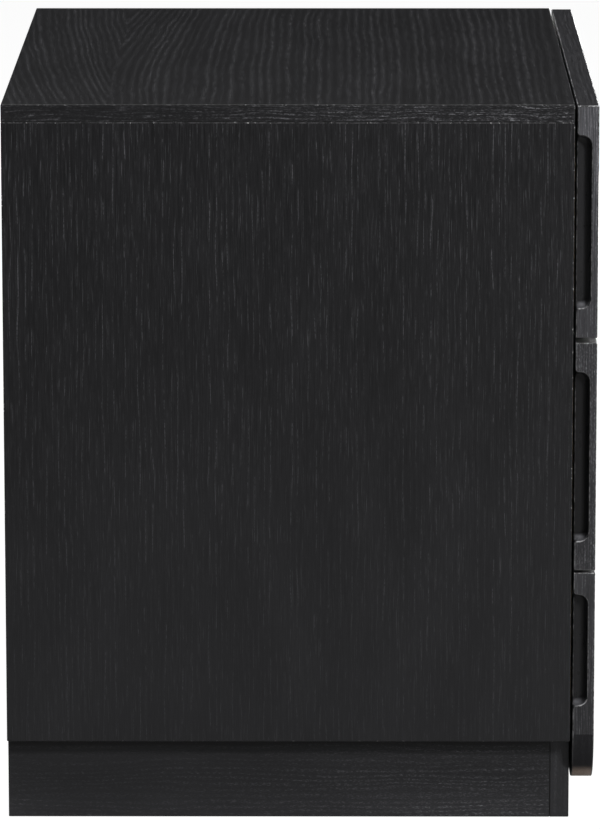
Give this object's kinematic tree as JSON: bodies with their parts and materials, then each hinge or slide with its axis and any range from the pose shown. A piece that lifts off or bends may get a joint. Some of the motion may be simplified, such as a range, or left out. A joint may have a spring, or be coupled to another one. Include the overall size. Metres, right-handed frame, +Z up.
{
  "type": "nightstand",
  "caption": "Nightstand in black-stained oak on a recessed plinth, with overlay drawers that open by finger pulls scooped into the side edges of their fronts.",
  "frame": {"origin": "on the floor, under the middle of the whole piece with its drawers closed", "axes": "+Z up, the drawers open towards -Y, +X to the right of someone who faces the drawers"},
  "size_m": [0.61, 0.492, 0.61],
  "materials": {
    "black_oak": "open-grain oak stained black, under a thin satin lacquer",
    "black_board": "smooth board with a black matt face",
    "birch": "clear-lacquered solid birch",
    "plywood": "clear-lacquered birch plywood",
    "slide_steel": "bright zinc-plated rolled steel",
    "nylon": "moulded black nylon"
  },
  "bodies": {
    "case": {"top_panel": "black_oak", "side_panel_left": "black_oak", "side_panel_right": "black_oak", "bottom_panel": "black_board", "back_panel": "black_board", "divider_rail_upper": "black_oak", "divider_rail_lower": "black_oak", "plinth_front": "black_oak", "plinth_back": "black_oak", "plinth_left": "black_oak", "plinth_right": "black_oak", "corner_block_front_left": "birch", "corner_block_front_right": "birch", "corner_block_rear_left": "birch", "corner_block_rear_right": "birch", "glide_front_left": "nylon", "glide_front_right": "nylon", "glide_rear_left": "nylon", "glide_rear_right": "nylon", "slide_case_1_left": "slide_steel", "slide_case_1_right": "slide_steel", "slide_case_2_left": "slide_steel", "slide_case_2_right": "slide_steel", "slide_case_3_left": "slide_steel", "slide_case_3_right": "slide_steel"},
    "drawer_1": {"drawer_front_1": "black_oak", "drawer_box_front_1": "birch", "drawer_box_back_1": "birch", "drawer_side_1_left": "birch", "drawer_side_1_right": "birch", "drawer_bottom_1": "plywood", "slide_drawer_1_left": "slide_steel", "slide_drawer_1_right": "slide_steel"},
    "drawer_2": {"drawer_front_2": "black_oak", "drawer_box_front_2": "birch", "drawer_box_back_2": "birch", "drawer_side_2_left": "birch", "drawer_side_2_right": "birch", "drawer_bottom_2": "plywood", "slide_drawer_2_left": "slide_steel", "slide_drawer_2_right": "slide_steel"},
    "drawer_3": {"drawer_front_3": "black_oak", "drawer_box_front_3": "birch", "drawer_box_back_3": "birch", "drawer_side_3_left": "birch", "drawer_side_3_right": "birch", "drawer_bottom_3": "plywood", "slide_drawer_3_left": "slide_steel", "slide_drawer_3_right": "slide_steel"},
    "slide_middle_1_left": {"slide_middle_1_left": "slide_steel"},
    "slide_middle_1_right": {"slide_middle_1_right": "slide_steel"},
    "slide_middle_2_left": {"slide_middle_2_left": "slide_steel"},
    "slide_middle_2_right": {"slide_middle_2_right": "slide_steel"},
    "slide_middle_3_left": {"slide_middle_3_left": "slide_steel"},
    "slide_middle_3_right": {"slide_middle_3_right": "slide_steel"}
  },
  "joints": [
    {"name": "drawer_1_slide", "type": "slide", "parent": "case", "child": "drawer_1", "axis": [0, -1, 0], "range_m": [0, 0.44]},
    {"name": "drawer_2_slide", "type": "slide", "parent": "case", "child": "drawer_2", "axis": [0, -1, 0], "range_m": [0, 0.44]},
    {"name": "drawer_3_slide", "type": "slide", "parent": "case", "child": "drawer_3", "axis": [0, -1, 0], "range_m": [0, 0.44]},
    {"name": "slide_middle_1_left_travel", "type": "slide", "parent": "case", "child": "slide_middle_1_left", "axis": [0, -1, 0], "range_m": [0, 0.22]},
    {"name": "slide_middle_1_right_travel", "type": "slide", "parent": "case", "child": "slide_middle_1_right", "axis": [0, -1, 0], "range_m": [0, 0.22]},
    {"name": "slide_middle_2_left_travel", "type": "slide", "parent": "case", "child": "slide_middle_2_left", "axis": [0, -1, 0], "range_m": [0, 0.22]},
    {"name": "slide_middle_2_right_travel", "type": "slide", "parent": "case", "child": "slide_middle_2_right", "axis": [0, -1, 0], "range_m": [0, 0.22]},
    {"name": "slide_middle_3_left_travel", "type": "slide", "parent": "case", "child": "slide_middle_3_left", "axis": [0, -1, 0], "range_m": [0, 0.22]},
    {"name": "slide_middle_3_right_travel", "type": "slide", "parent": "case", "child": "slide_middle_3_right", "axis": [0, -1, 0], "range_m": [0, 0.22]}
  ],
  "couplings": [
    {"joint": "slide_middle_1_left_travel", "follows": "drawer_1_slide", "ratio": 0.5},
    {"joint": "slide_middle_1_right_travel", "follows": "drawer_1_slide", "ratio": 0.5},
    {"joint": "slide_middle_2_left_travel", "follows": "drawer_2_slide", "ratio": 0.5},
    {"joint": "slide_middle_2_right_travel", "follows": "drawer_2_slide", "ratio": 0.5},
    {"joint": "slide_middle_3_left_travel", "follows": "drawer_3_slide", "ratio": 0.5},
    {"joint": "slide_middle_3_right_travel", "follows": "drawer_3_slide", "ratio": 0.5}
  ]
}
